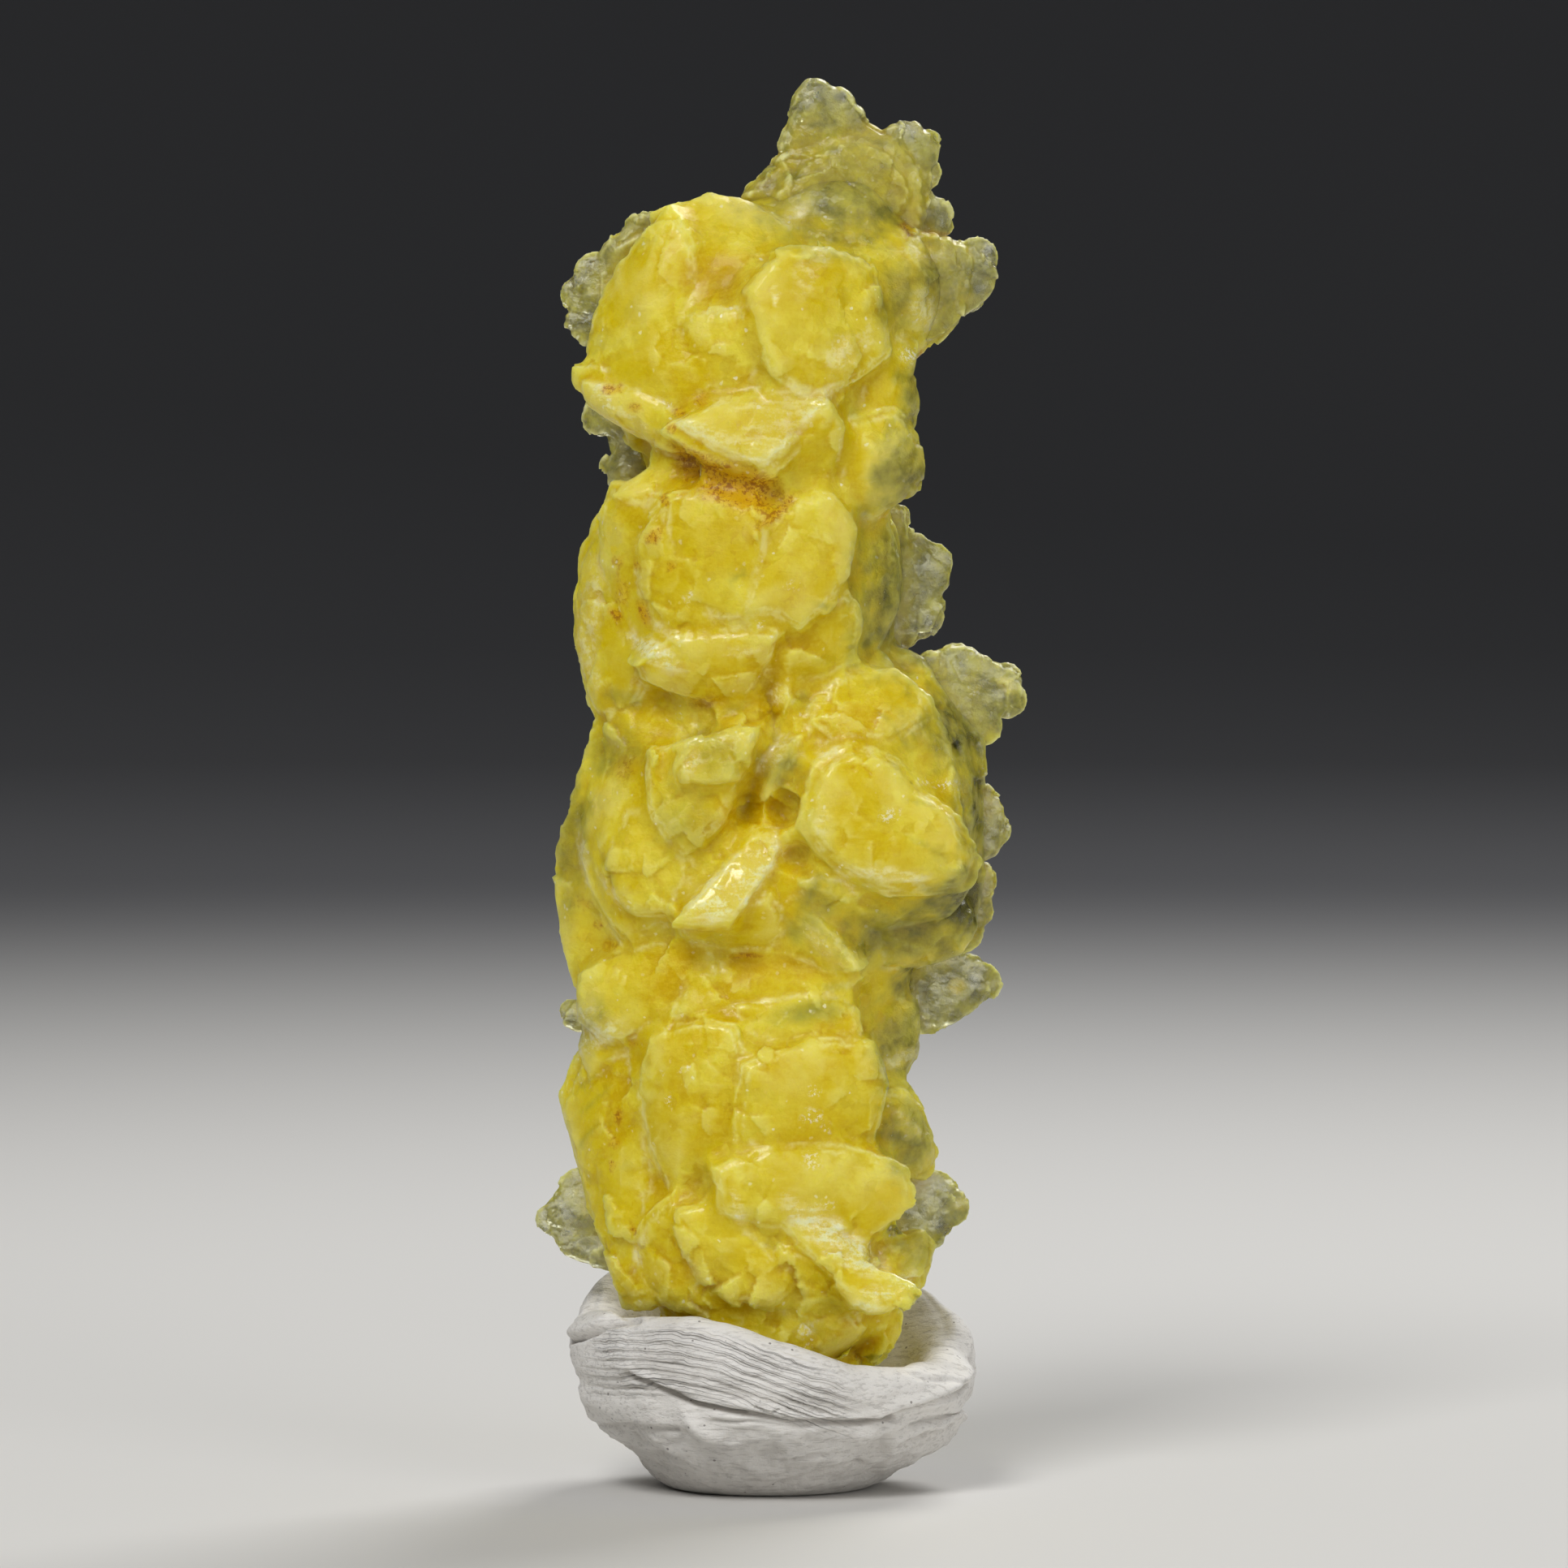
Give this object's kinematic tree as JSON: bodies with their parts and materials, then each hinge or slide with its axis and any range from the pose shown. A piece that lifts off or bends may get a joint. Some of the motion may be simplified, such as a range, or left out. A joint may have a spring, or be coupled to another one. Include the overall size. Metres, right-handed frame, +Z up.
{
  "type": "brucite specimen",
  "caption": "Tall lumpy mineral specimen: lemon-yellow brucite grown as overlapping plates and thin see-through sheets, standing in a kneaded lump of white putty.",
  "frame": {"origin": "middle of the flat underside of the putty, on the surface that the specimen stands on", "axes": "+Z up along the specimen, -Y towards the side that the picture shows, +X to the right seen from there"},
  "size_m": [0.0295, 0.0232, 0.0869],
  "materials": {
    "brucite": "waxy to pearly lemon-yellow mineral, translucent in the body and see-through in its thin sheets",
    "putty": "matt off-white mounting putty with fine stretch ridges and folds"
  },
  "bodies": {
    "root": {"brucite_cluster": "brucite", "mounting_putty": "putty"}
  },
  "joints": []
}
